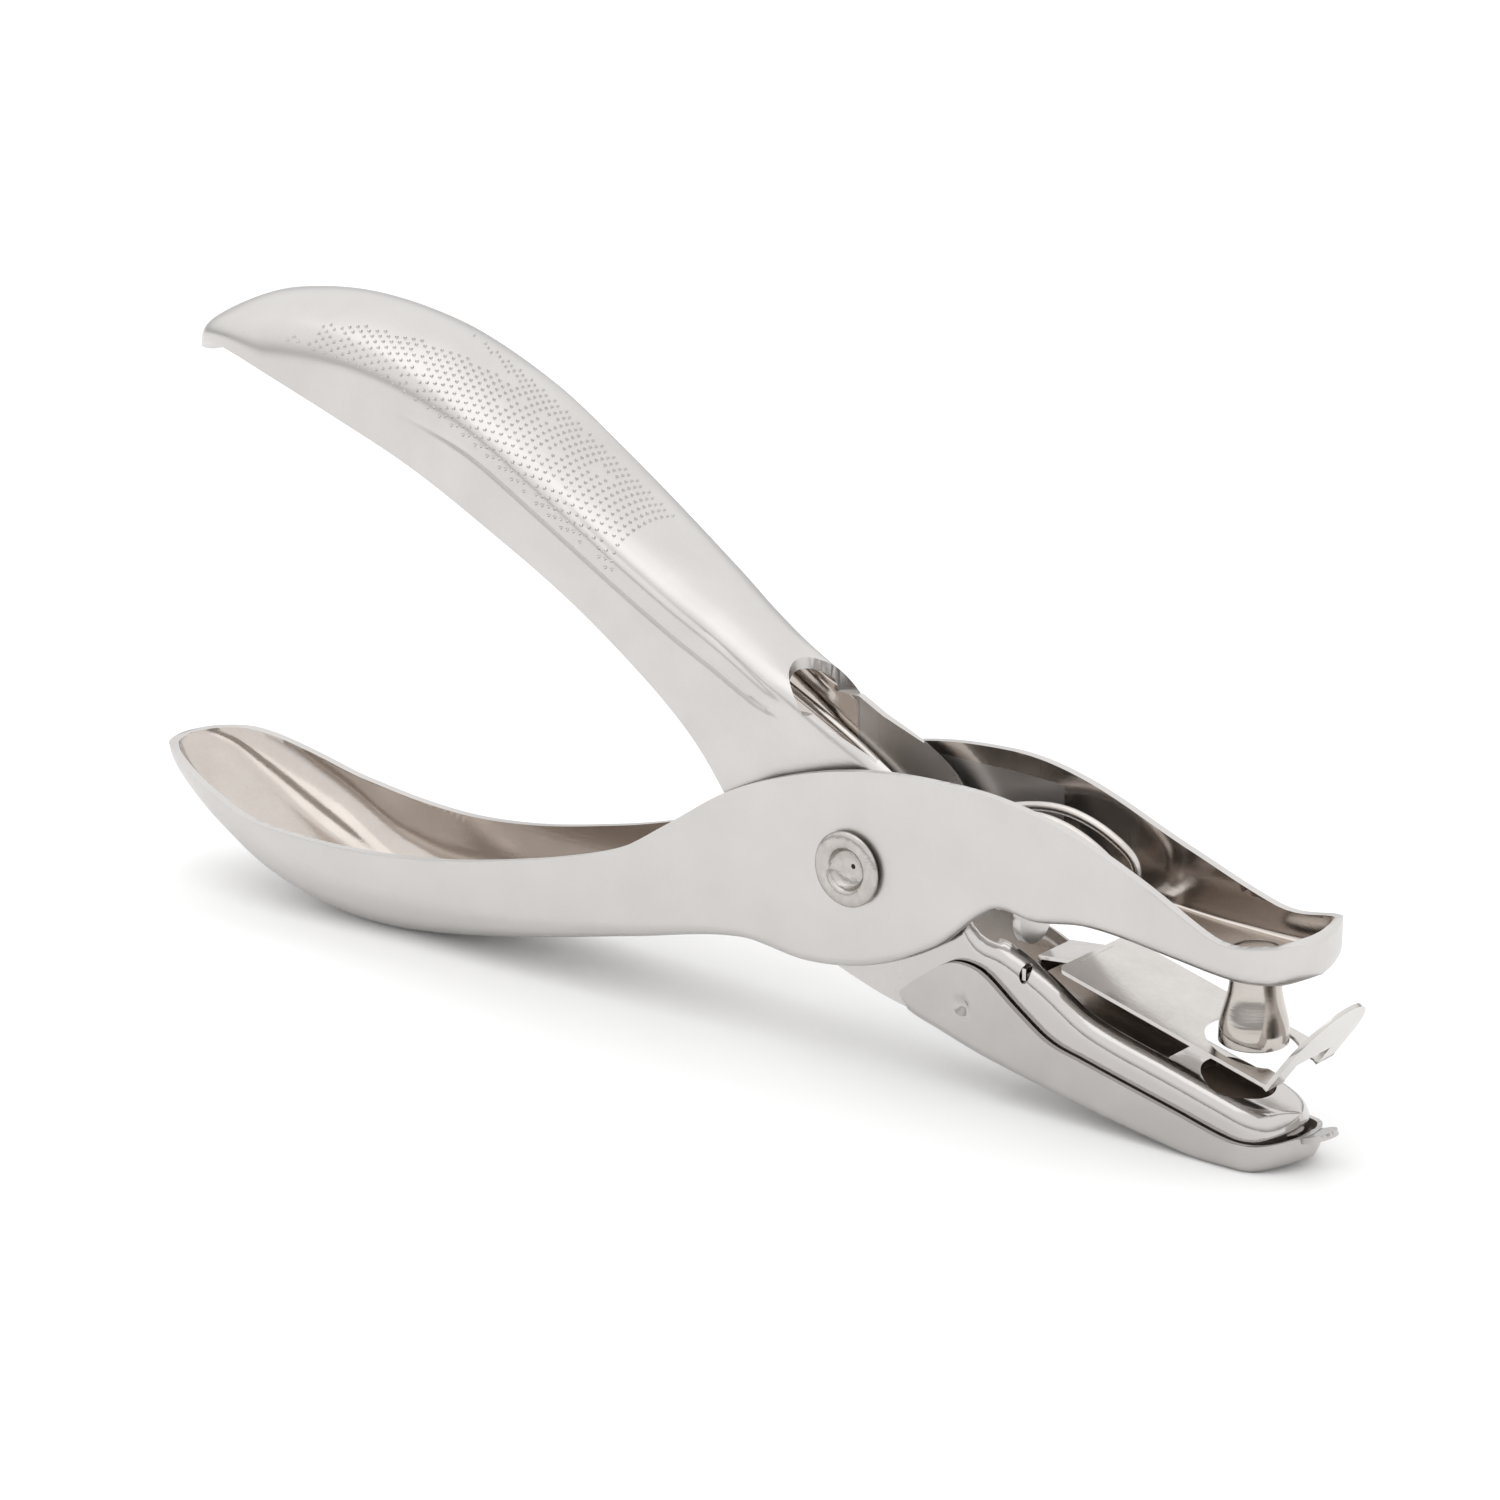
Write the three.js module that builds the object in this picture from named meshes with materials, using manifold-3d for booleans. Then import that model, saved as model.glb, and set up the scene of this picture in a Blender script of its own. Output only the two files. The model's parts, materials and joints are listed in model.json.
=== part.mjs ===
// Hand-held single-hole craft punch: two stamped nickel-plated levers crossing at a dished rivet,
// a punch pin in the upper jaw, a die hole in the lower one, a stripper, a chip tray and a return spring.
// Millimetres, +Z up. The levers are drawn about the pivot: x runs along the tool towards the jaws,
// y across it, z up. The whole tool is then set down on its belly and its chip tray.
import * as THREE from "three";
import { mergeVertices } from "three/addons/utils/BufferGeometryUtils.js";
import Module from "manifold-3d";

const wasm = await Module();
wasm.setup();

// ---------- driving dimensions ----------
const bellyLow = { x: -58.5, z: -19.4 }; // lowest point of the lower handle, about the pivot
const trayLow = { x: 38.5, z: -18.6 }; // lowest point of the chip tray
const skim = 0.12; // how deep those two are flattened where they stand

const punch = { x: 38.3, headR: 3.0, neckR: 2.2, tailR: 1.6, bottom: -8.5, shoulder: -6.4 };
const plate = { outer: 6.0, sheet: 0.8 }; // punch lever: half-width at the pivot, sheet thickness
const inner = { outer: 4.2, sheet: 0.9 }; // die lever
const tray = { outer: 4.95, sheet: 0.5, hinge: [11.5, -10.4], pipR: 0.8, pipReach: 1.1, floorX: 13.5 };
const rivet = { flangeR: 3.45, shankR: 2.1, dishR: 1.65, mouthR: 2.0, dish: 0.9, flange: 0.55, clear: 0.3 };
const sleeve = { innerR: 2.4, outerR: 2.75, half: 3.1 }; // between the inner plates, under the coils
const washer = { innerR: 2.4, outerR: 4.5, y: 4.45, thick: 0.5 }; // between each inner and outer plate
const strip = {
  sheet: 0.4, half: 5.1, holeR: 4.2, throat: 2.6, rearX: 21.4, frontX: 43.2, z: -8.55, slope: -0.2535,
  lip: 8.1, lipLean: THREE.MathUtils.degToRad(35), notch: 2, tail: 2.4,
  ear: { x: 17.5, low: -6.9, high: -5.8, gap: 0.3 },
};
const die = { x: 36.95, holeR: 3.3 }; // where the punch enters the lower jaw as the tool closes
const wire = { r: 0.45, coilR: 3.3, turns: 2, farY: 2.7, pitch: 1 };
const handleWindow = { x: -6.2, z: 12.2, r: 4.2 }; // round-ended opening in the upper handle's web
const jawTop = { x: 33, z: -11.2, slope: -0.2535 }; // upper face of the lower jaw

// ---------- materials ----------
const nickel = new THREE.MeshStandardMaterial({ color: 0xd6d2cf, roughness: 0.32, metalness: 1 });
const nickelDark = new THREE.MeshStandardMaterial({ color: 0xb9b4af, roughness: 0.28, metalness: 1 });
const toolSteel = new THREE.MeshStandardMaterial({ color: 0xa8a39e, roughness: 0.22, metalness: 1 });
const springSteel = new THREE.MeshStandardMaterial({ color: 0xc4c0bb, roughness: 0.3, metalness: 1 });

// ---------- helpers ----------
// A smooth height or width along x: a cubic through a few knots, its slope at each the chord of its neighbours.
function profile(knots) {
  const slope = knots.map((_, i) => {
    const a = knots[Math.max(i - 1, 0)];
    const b = knots[Math.min(i + 1, knots.length - 1)];
    return (b[1] - a[1]) / (b[0] - a[0]);
  });
  return (x) => {
    let i = 0;
    while (i < knots.length - 2 && x > knots[i + 1][0]) i += 1;
    const [x0, v0] = knots[i];
    const [x1, v1] = knots[i + 1];
    const h = x1 - x0;
    const t = THREE.MathUtils.clamp((x - x0) / h, 0, 1);
    const t2 = t * t;
    const t3 = t2 * t;
    const ends = (2 * t3 - 3 * t2 + 1) * v0 + (3 * t2 - 2 * t3) * v1;
    return ends + h * ((t3 - 2 * t2 + t) * slope[i] + (t3 - t2) * slope[i + 1]);
  };
}

function solid(geometry) {
  const bare = geometry.clone();
  for (const name of Object.keys(bare.attributes)) {
    if (name !== "position") bare.deleteAttribute(name);
  }
  const merged = mergeVertices(bare, 1e-4);
  return new wasm.Manifold(
    new wasm.Mesh({
      numProp: 3,
      vertProperties: new Float32Array(merged.attributes.position.array),
      triVerts: new Uint32Array(merged.index.array),
    }),
  );
}

function toGeometry(manifold) {
  const mesh = manifold.getMesh();
  const geometry = new THREE.BufferGeometry();
  geometry.setAttribute("position", new THREE.BufferAttribute(mesh.vertProperties, 3));
  geometry.setIndex(new THREE.BufferAttribute(mesh.triVerts, 1));
  geometry.computeVertexNormals();
  return geometry;
}

// A closed skin over rings of the same number of points, each end closed by a fan.
function loft(rings) {
  const count = rings[0].length;
  const points = rings.flat();
  const index = [];
  for (let r = 0; r < rings.length - 1; r += 1) {
    for (let i = 0; i < count; i += 1) {
      const a = r * count + i;
      const b = r * count + ((i + 1) % count);
      index.push(a, b, a + count, b, b + count, a + count);
    }
  }
  const last = (rings.length - 1) * count;
  for (let i = 1; i < count - 1; i += 1) {
    index.push(0, i + 1, i);
    index.push(last, last + i, last + i + 1);
  }
  const geometry = new THREE.BufferGeometry().setFromPoints(points);
  geometry.setIndex(index);
  return geometry;
}

// One ring of a pressed channel, at x: a web across `web`, two walls to `rim`, and a bend of radius r.
// The web may be above or below the rim, and falls by `crown` from its middle to its bends.
function channelRing(x, half, web, rim, r, crown = 0, bendSteps = 4) {
  const up = Math.sign(web - rim);
  const shoulder = web - up * crown;
  const bend = Math.max(Math.min(r, half - 0.05, Math.abs(web - rim) - 0.05), 0.02);
  const ring = [new THREE.Vector3(x, -half, rim)];
  for (const side of [-1, 1]) {
    for (let i = 0; i <= bendSteps; i += 1) {
      const turn = ((side < 0 ? i : bendSteps - i) / bendSteps) * (Math.PI / 2);
      const y = side * (half - bend + bend * Math.cos(turn));
      ring.push(new THREE.Vector3(x, y, shoulder + up * bend * (Math.sin(turn) - 1)));
    }
    if (side < 0 && crown > 0) {
      for (const across of [-0.6, 0, 0.6]) {
        ring.push(new THREE.Vector3(x, across * (half - bend), web - up * crown * across * across));
      }
    }
  }
  ring.push(new THREE.Vector3(x, half, rim));
  return up > 0 ? ring.reverse() : ring;
}

// Even steps along x, halved over the last two at each end where the outline turns quickly.
function stations(from, to, step) {
  const count = Math.ceil((to - from) / step);
  const whole = Array.from({ length: count + 1 }, (_, i) => i);
  const halves = [0.5, 1.5, count - 1.5, count - 0.5];
  return [...whole, ...halves].sort((a, b) => a - b).map((i) => from + ((to - from) * i) / count);
}

// A sheet channel: the outer skin less an inner one that is a sheet's thickness inside it and open at the rim.
function channel({ from, to, step, half, web, rim, bend, sheet, crown = () => 0 }) {
  const xs = stations(from, to, step);
  const open = 30;
  const up = Math.sign(web(0.5 * (from + to)) - rim(0.5 * (from + to)));
  const skin = loft(xs.map((x) => channelRing(x, half(x), web(x), rim(x), bend(x), crown(x))));
  const inside = (x) => {
    const r = Math.max(bend(x) - sheet, 0.3);
    return channelRing(x, half(x) - sheet, web(x) - up * sheet, rim(x) - up * open, r, crown(x));
  };
  const cavity = loft(xs.filter((x) => half(x) > 2 * sheet).map(inside));
  return solid(skin).subtract(solid(cavity));
}

// Leans a solid drawn at the origin about y, then moves it to x and z.
function toWorld(body, lean, x, z) {
  return body.rotate([0, THREE.MathUtils.radToDeg(lean), 0]).translate([x, 0, z]);
}

function block(x0, x1, y0, y1, z0, z1) {
  const box = new THREE.BoxGeometry(x1 - x0, y1 - y0, z1 - z0);
  box.translate((x0 + x1) / 2, (y0 + y1) / 2, (z0 + z1) / 2);
  return solid(box);
}

// A cylinder across the tool, its axis along y.
function across(x, z, r, y0, y1, segments = 32) {
  const rod = new THREE.CylinderGeometry(r, r, y1 - y0, segments);
  rod.translate(x, (y0 + y1) / 2, z);
  return solid(rod);
}

// A cylinder standing on end and leaned back by `lean` about y.
function upright(x, z, r, z0, z1, lean = 0, segments = 32) {
  const rod = new THREE.CylinderGeometry(r, r, z1 - z0, segments);
  rod.rotateX(Math.PI / 2);
  rod.translate(0, 0, (z0 + z1) / 2);
  rod.rotateY(lean);
  rod.translate(x, 0, z);
  return solid(rod);
}

// A side outline in x and z, made into a slab from y0 to y1.
function slab(outline, y0, y1) {
  const geometry = new THREE.ExtrudeGeometry(outline, { depth: y1 - y0, bevelEnabled: false, curveSegments: 10 });
  geometry.rotateX(Math.PI / 2);
  geometry.translate(0, y1, 0);
  return solid(geometry);
}

function outlineOf(points) {
  return new THREE.Shape(points.map(([x, z]) => new THREE.Vector2(x, z)));
}

function mesh(name, manifold, material) {
  const made = new THREE.Mesh(toGeometry(manifold), material);
  made.name = name;
  return made;
}

// The half space under the table the tool stands on, raised by the skim.
const rest = Math.atan2(trayLow.z - bellyLow.z, trayLow.x - bellyLow.x);
const ground = toWorld(block(-60, 160, -20, 20, -20, 0), -rest, bellyLow.x, bellyLow.z + skim);

// A turned tube across the tool, its axis along y.
function tube(innerR, outerR, y0, y1) {
  return across(0, 0, outerR, y0, y1).subtract(across(0, 0, innerR, y0 - 1, y1 + 1));
}

// ---------- punch lever: lower handle, side plates and upper jaw ----------
const leverTop = profile([
  [-88.2, -6.8], [-84, -6.9], [-77, -8.8], [-71, -10.3], [-59, -10.8], [-48, -9.7], [-37, -7.3], [-30, -5.3],
  [-25.7, -3.6], [-20.7, -0.4], [-14, 4], [-6.9, 7], [0.2, 8.9], [7.1, 9.7], [13.9, 9.6], [20.6, 8.2],
  [29.1, 5.1], [36.9, 2], [39.4, 1.7], [44.8, 2.6],
]);
const leverBottom = profile([
  [-88.2, -7.4], [-85.6, -8.6], [-82, -10.9], [-77, -13.8], [-70.7, -16.8], [-65, -18.6], [bellyLow.x, bellyLow.z],
  [-52, -18.8], [-39.8, -16.2], [-25.8, -12.7], [-13, -9.7], [-5, -10.1], [2.1, -8.8], [9.1, -5.5],
  [14.8, -0.9], [18.8, -1.2], [23.8, -0.6], [33.5, -1.3], [40, -1.6], [44.8, -1],
]);
const leverHalf = profile([
  [-88.2, 1.2], [-87.4, 3], [-86.4, 4], [-85, 5.1], [-83.4, 6], [-80.6, 7], [-77, 7.8], [-71, 8.5], [-64, 8.1],
  [-53, 7.2], [-37, 6.7], [-25, 6.2], [-17, 6], [-13, 6], [8, 6], [10, 6], [17, 5.3],
  [25, 4.7], [31, 4.9], [37, 5.5], [40, 5.7], [42.2, 5.6], [43.7, 5], [44.5, 3.7], [44.8, 2],
]);
const leverBend = profile([[-88.2, 1], [-80, 3], [-60, 4.2], [-40, 2.5], [-15, 1.2], [20, 1], [44.8, 1.2]]);

function punchLever() {
  let body = channel({
    from: -88.2, to: 44.8, step: 2.2, half: leverHalf, web: leverBottom, rim: leverTop, bend: leverBend,
    sheet: plate.sheet,
  });
  // The web is cut away where the other lever passes through.
  const open = plate.outer - plate.sheet;
  body = body.subtract(block(-15, 15.2, -open, open, -14, 8));
  body = body.subtract(upright(-15, 0, open, -14, -4));
  // A rounded tongue turned down from the rear end of the upper jaw's web.
  const tongue = upright(0, 0, 2.4, 0, 0.8).rotate([0, 90, 0]).translate([15, 0, -2.6]);
  body = body.add(tongue.add(block(15, 15.8, -2.4, 2.4, -2.6, 0.2)).add(block(15, 16.6, -4.9, 4.9, -1.1, -0.2)));
  // Holes for the rivet, the punch pin and the spring's hook.
  body = body.subtract(across(0, 0, rivet.shankR + rivet.clear, -8, 8));
  body = body.subtract(upright(punch.x, 0, punch.tailR + 0.3, -3, 0));
  body = body.subtract(block(24.2, 26.4, -2.3, 2.3, -2, 2));
  return body.subtract(ground);
}

// ---------- die lever: upper handle, inner plates and lower jaw ----------
const dieTop = profile([
  [-80.8, 34.6], [-79.8, 36.1], [-77, 38.2], [-71.6, 40.5], [-62.6, 41.4], [-53, 39.7], [-43.6, 35.7], [-34.5, 30.4],
  [-25.6, 25], [-16, 19.2], [-9, 14.9], [-4, 12.2], [1, 9.8], [5, 7], [9.4, 0.4], [12, -3.5], [15.3, -4.4],
  [19.3, -6.2], [24.1, -8.9], [33, -11.2], [43.3, -13.8],
]);
const dieBottom = profile([
  [-80.8, 34], [-79.2, 35.2], [-77, 35.9], [-73.5, 35.7], [-69, 34.6], [-59.3, 31.5], [-49.8, 28], [-40.5, 23.6],
  [-31.4, 18.6], [-23.8, 13.2], [-18.8, 8.6], [-14.6, 2.8], [-11, -3.5], [-6, -8.6], [-2.1, -10.4], [4.4, -12.2],
  [9, -12.4], [20, -14.4], [33, -16.8], [43.3, -17],
]);
const dieHalf = profile([
  [-80.8, 1.8], [-79.8, 4], [-77.2, 6], [-71.6, 7.4], [-60, 7.6], [-45, 7], [-30, 6.3], [-21, 5.5], [-16.5, 4.8],
  [-12, 4.4], [-6, 4.2], [39.2, 4.2], [41, 3.8], [42.2, 3], [43, 1.9], [43.3, 0.9],
]);
const dieCrown = profile([
  [-80.8, 0.2], [-70, 1.6], [-50, 1.1], [-30, 0.9], [-14, 0.7], [-8, 0.1], [-6, 0.05], [43.3, 0.05],
]);
const dieBend = profile([[-80.8, 1.5], [-70, 3.6], [-45, 3.4], [-16, 2.6], [-6, 1.6], [12, 1.8], [43.3, 1.8]]);

function dieLever() {
  const insideHalf = inner.outer - inner.sheet;
  let body = channel({
    from: -80.8, to: 43.3, step: 2.2, half: dieHalf, web: dieTop, rim: dieBottom, bend: dieBend, sheet: inner.sheet,
    crown: dieCrown,
  });
  // The web stops in a round-ended opening ahead of the handle, and a long slot leads to the die.
  const { x: windowX, z: windowZ, r: windowR } = handleWindow;
  body = body.subtract(upright(windowX, 0, windowR, windowZ, 30));
  const above = outlineOf([[windowX, windowZ], [-3.6, 10.9], [1, 9.3], [3, 30], [windowX, 30]]);
  body = body.subtract(slab(above, -5, 5));
  body = body.subtract(upright(windowX, 0, insideHalf, 0, 30));
  body = body.subtract(block(windowX, 14, -insideHalf, insideHalf, -6, 30));
  body = body.subtract(block(-4, 12, -insideHalf, insideHalf, -9, 20));
  body = body.subtract(block(12, 31.6, -2.7, 2.7, -14, 0));
  body = body.subtract(across(0, 0, rivet.shankR + rivet.clear, -8, 8));
  body = body.subtract(across(tray.hinge[0], tray.hinge[1], tray.pipR + 0.3, -8, 8, 20));
  const lean = Math.atan(-jawTop.slope);
  const dieZ = jawTop.z + jawTop.slope * (die.x - jawTop.x);
  body = body.subtract(upright(die.x, dieZ, die.holeR, -5, 3, lean));
  // Slits that hold the stripper's ears.
  const { ear } = strip;
  const reach = ear.gap + 0.2;
  return body.subtract(block(ear.x - reach, ear.x + reach, -6, 6, ear.low - ear.gap, ear.high + ear.gap));
}

// ---------- pivot: dished rivet, sleeve and washers ----------
function pivotRivet() {
  const out = plate.outer + 0.3;
  const end = out + rivet.flange;
  const half = [
    [rivet.shankR, out], [rivet.flangeR, out], [rivet.flangeR, out + 0.2], [rivet.flangeR - 0.4, end],
    [rivet.mouthR, end], [rivet.dishR, end - rivet.dish], [0, end - rivet.dish],
  ];
  const mirrored = half.slice().reverse().map(([r, y]) => [r, -y]);
  const shape = [...mirrored, ...half];
  return solid(new THREE.LatheGeometry(shape.map(([r, y]) => new THREE.Vector2(r, y)), 32));
}

function pivotSleeve() {
  return tube(sleeve.innerR, sleeve.outerR, -sleeve.half, sleeve.half);
}

function pivotWasher(side) {
  const near = side * washer.y;
  const far = side * (washer.y + washer.thick);
  return tube(washer.innerR, washer.outerR, Math.min(near, far), Math.max(near, far));
}

// ---------- punch pin ----------
function punchPin() {
  const top = -0.6;
  const shape = [
    [0, punch.bottom + 0.5], [2.2, punch.bottom], [punch.headR, punch.bottom], [punch.headR, punch.shoulder - 0.7],
    [2.86, punch.shoulder], [2.6, -5.4], [2.36, -4.4], [punch.neckR, -3.2], [punch.neckR, -1.9], [punch.tailR, -1.9],
    [punch.tailR, top], [2.3, top], [2, top + 0.4], [0, top + 0.6],
  ];
  const turned = new THREE.LatheGeometry(shape.map(([r, z]) => new THREE.Vector2(r, z)), 32);
  turned.rotateX(Math.PI / 2);
  turned.translate(punch.x, 0, 0);
  return solid(turned);
}

// ---------- stripper: a leaf over the die with a round opening, a tail in the trough and a lip in front ----------
function stripperPlate() {
  const lean = Math.atan(-strip.slope);
  const rise = (x) => strip.z + strip.slope * (x - punch.x);
  // The leaf, drawn flat with its length along x and the punch axis at 0, then sloped.
  const back = (strip.rearX - punch.x) / Math.cos(lean);
  const front = (strip.frontX - punch.x) / Math.cos(lean);
  const leaf = outlineOf([[back, -strip.half], [front, -strip.half], [front, strip.half], [back, strip.half]]);
  const flat = new THREE.ExtrudeGeometry(leaf, { depth: strip.sheet, bevelEnabled: false });
  flat.translate(0, 0, -strip.sheet);
  let body = solid(flat);
  body = body.subtract(upright(0, 0, strip.holeR, -2, 2));
  body = body.subtract(block(0, front + 1, -strip.throat, strip.throat, -2, 2));
  body = toWorld(body, lean, punch.x, strip.z);
  // The lip leans forward from the leaf's front edge and ends in a half round.
  const lip = new THREE.Shape();
  lip.moveTo(-strip.half, -0.3);
  lip.lineTo(strip.half, -0.3);
  lip.lineTo(strip.half, strip.lip - strip.half * 0.9);
  lip.bezierCurveTo(strip.half, strip.lip - 1.2, 2.8, strip.lip, 0, strip.lip);
  lip.bezierCurveTo(-2.8, strip.lip, -strip.half, strip.lip - 1.2, -strip.half, strip.lip - strip.half * 0.9);
  const blade = new THREE.ExtrudeGeometry(lip, { depth: strip.sheet, bevelEnabled: false, curveSegments: 8 });
  blade.rotateX(Math.PI / 2);
  blade.rotateZ(Math.PI / 2);
  let standing = solid(blade);
  standing = standing.subtract(block(-2, 2, -strip.throat, strip.throat, -1, strip.notch));
  standing = toWorld(standing, strip.lipLean, strip.frontX - 0.1, rise(strip.frontX) - 0.3);
  body = body.add(standing);
  // The tail runs back and down into the trough, and its ears reach into the slits of the lower jaw.
  const { ear } = strip;
  const reach = inner.outer - 0.1;
  const tail = slab(
    outlineOf([
      [strip.rearX + 0.5, rise(strip.rearX) - 0.15], [strip.rearX + 0.5, rise(strip.rearX) - 0.5],
      [ear.x + 0.6, -5.3], [ear.x + 0.2, ear.low], [ear.x - 0.2, ear.low], [ear.x + 0.3, -4.95],
    ]),
    -strip.tail, strip.tail,
  );
  return body.add(tail).add(block(ear.x - 0.2, ear.x + 0.2, -reach, reach, ear.low, ear.high));
}

// ---------- chip tray ----------
const trayTop = profile([
  [4.8, -10.6], [6.2, -9.4], [8.9, -7.4], [10.3, -6.7], [12, -6.6], [13.7, -7.1], [17.1, -9.5], [20.5, -11.6],
  [24, -12.5], [33.7, -14.7], [38.6, -15.8], [41.5, -15.9], [44.6, -15.2],
]);
const trayBottom = profile([
  [4.8, -11.6], [5.4, -12.6], [8.6, -13.6], [13.8, -15], [24, -16.9], [33.8, -18.4], [trayLow.x - 2.5, trayLow.z],
  [trayLow.x - 1.5, trayLow.z], [trayLow.x + 1.5, trayLow.z], [trayLow.x + 2.5, trayLow.z], [44.6, -17.3],
]);
const trayHalf = profile([
  [4.8, 4.95], [38, 4.95], [40.4, 4.8], [42.4, 4], [43.8, 2.6], [44.4, 1.4], [44.6, 0.8],
]);

function chipTray() {
  let body = channel({
    from: 4.8, to: 44.6, step: 1.8, half: trayHalf, web: trayBottom, rim: trayTop, bend: () => 1.2, sheet: tray.sheet,
  });
  const open = tray.outer - tray.sheet;
  body = body.subtract(block(3, tray.floorX, -open, open, -16, -5));
  // Pips pressed inwards carry the tray on the lower jaw.
  const [hx, hz] = tray.hinge;
  for (const side of [-1, 1]) {
    const a = side * (tray.outer - 0.2);
    const b = side * (tray.outer - tray.sheet - tray.pipReach);
    body = body.add(across(hx, hz, tray.pipR, Math.min(a, b), Math.max(a, b), 16));
  }
  // A rounded ear in front for the thumbnail.
  const ear = upright(1.4, 0, 1.5, 0, 0.5, 0, 20).add(block(0, 1.4, -1.5, 1.5, 0, 0.5));
  return body.add(toWorld(ear, -0.35, 44, -16)).subtract(ground);
}

// ---------- return spring: two coils on the rivet, a loop into the upper jaw, two legs to the handle ----------
function returnSpring() {
  const points = [];
  const half = [[-15.2, 12.5], [-10, 10.1], [-4, 7]].map(([x, z]) => [x, z, wire.farY]);
  const from = THREE.MathUtils.degToRad(50);
  const to = THREE.MathUtils.degToRad(100) - wire.turns * 2 * Math.PI;
  const steps = 22;
  for (let i = 0; i <= steps; i += 1) {
    const a = from + ((to - from) * i) / steps;
    const y = wire.farY - (wire.turns * wire.pitch * i) / steps;
    half.push([wire.coilR * Math.cos(a), wire.coilR * Math.sin(a), y]);
  }
  half.push([6, 4.1, 1.0], [11.5, 6.2, 1.35], [16.5, 7.3, 1.45], [20.5, 6.7, 1.45], [24, 5, 1.45]);
  half.push([25.2, 3.7, 1.45], [25.3, 1.9, 1.3], [25.3, 0.7, 0.8]);
  for (const [x, z, y] of half) points.push(new THREE.Vector3(x, -y, z));
  points.push(new THREE.Vector3(25.3, 0, 0.4));
  for (const [x, z, y] of half.slice().reverse()) points.push(new THREE.Vector3(x, y, z));
  const path = new THREE.CatmullRomCurve3(points, false, "centripetal");
  const section = new THREE.Shape().absarc(0, 0, wire.r, 0, 2 * Math.PI);
  const geometry = new THREE.ExtrudeGeometry(section, {
    steps: 150, extrudePath: path, bevelEnabled: false, curveSegments: 3,
  });
  return solid(geometry);
}

// ---------- assembly: set down on the belly and the tray, origin under the middle of its box ----------
const parts = [
  ["punch_lever", punchLever, nickel],
  ["die_lever", dieLever, nickel],
  ["pivot_rivet", pivotRivet, nickelDark],
  ["pivot_sleeve", pivotSleeve, nickelDark],
  ["pivot_washer_near", () => pivotWasher(-1), nickelDark],
  ["pivot_washer_far", () => pivotWasher(1), nickelDark],
  ["punch_pin", punchPin, toolSteel],
  ["stripper_plate", stripperPlate, nickel],
  ["chip_tray", chipTray, nickel],
  ["return_spring", returnSpring, springSteel],
];
const tool = new THREE.Group();
for (const [name, make, material] of parts) tool.add(mesh(name, make(), material));
tool.rotation.y = rest;
const box = new THREE.Box3().setFromObject(tool, true);
tool.position.set(-(box.min.x + box.max.x) / 2, 0, -box.min.z);

const punchTool = new THREE.Group();
punchTool.add(tool);

export default punchTool;
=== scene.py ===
import json
import math

import bmesh
import bpy
from mathutils import Matrix, Vector, noise


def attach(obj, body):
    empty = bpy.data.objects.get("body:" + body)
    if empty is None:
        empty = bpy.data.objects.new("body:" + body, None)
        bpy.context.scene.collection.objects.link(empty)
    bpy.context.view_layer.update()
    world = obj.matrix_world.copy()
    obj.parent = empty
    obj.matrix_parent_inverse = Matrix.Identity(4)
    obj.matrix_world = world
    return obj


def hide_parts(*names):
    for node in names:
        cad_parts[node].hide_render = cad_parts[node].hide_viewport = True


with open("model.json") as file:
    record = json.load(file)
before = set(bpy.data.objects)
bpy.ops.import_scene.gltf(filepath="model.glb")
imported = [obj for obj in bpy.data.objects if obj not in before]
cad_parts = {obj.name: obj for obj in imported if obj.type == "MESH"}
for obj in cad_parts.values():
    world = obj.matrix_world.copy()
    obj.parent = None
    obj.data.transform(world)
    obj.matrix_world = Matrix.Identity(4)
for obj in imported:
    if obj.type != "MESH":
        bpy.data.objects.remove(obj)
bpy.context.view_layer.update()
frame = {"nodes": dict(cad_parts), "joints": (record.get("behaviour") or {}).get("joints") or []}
print("frame loaded:", len(frame["nodes"]), "nodes")

# Everything is drawn in millimetres about the pivot, x towards the jaws, and then set down in the row frame.
drawn = {"trayHinge": (11.5, -10.4), "bellyLow": (-58.5, -19.4), "trayLow": (38.5, -18.6)}
jointAt = {joint["name"]: Vector(joint["pos_m"]) for joint in frame["joints"]}
toHinge = jointAt["tray_open"] - jointAt["squeeze"]
restTilt = math.atan2(drawn["trayHinge"][1], drawn["trayHinge"][0]) - math.atan2(toHinge.z, toHinge.x)
setDown = Matrix.Translation(jointAt["squeeze"]) @ Matrix.Rotation(restTilt, 4, "Y")
intoFrame = setDown @ Matrix.Scale(0.001, 4)


# shader expressions
class Signal:
    def __init__(self, tree, socket=None):
        self.tree = tree
        self.socket = socket

    def node(self, kind, settings=None, inputs=None, out=0):
        made = self.tree.nodes.new(kind)
        for key, value in (settings or {}).items():
            if key == "stops":  # position and grey of each stop of a ramp
                ramp = made.color_ramp.elements
                for spot, (where, shade) in enumerate(value):
                    stop = ramp[spot] if spot < 2 else ramp.new(where)
                    stop.position = where
                    stop.color = (shade, shade, shade, 1)
            else:
                setattr(made, key, value)
        for key, value in (inputs or {}).items():
            if isinstance(value, Signal):
                self.tree.links.new(value.socket, made.inputs[key])
            else:
                made.inputs[key].default_value = value
        return Signal(self.tree, made.outputs[out])

    def combine(self, operation, first, second):
        return self.node("ShaderNodeMath", {"operation": operation}, {0: first, 1: second})

    def __add__(self, other):
        return self.combine("ADD", self, other)

    def __radd__(self, other):
        return self.combine("ADD", other, self)

    def __sub__(self, other):
        return self.combine("SUBTRACT", self, other)

    def __rsub__(self, other):
        return self.combine("SUBTRACT", other, self)

    def __mul__(self, other):
        return self.combine("MULTIPLY", self, other)

    def __rmul__(self, other):
        return self.combine("MULTIPLY", other, self)


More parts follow.
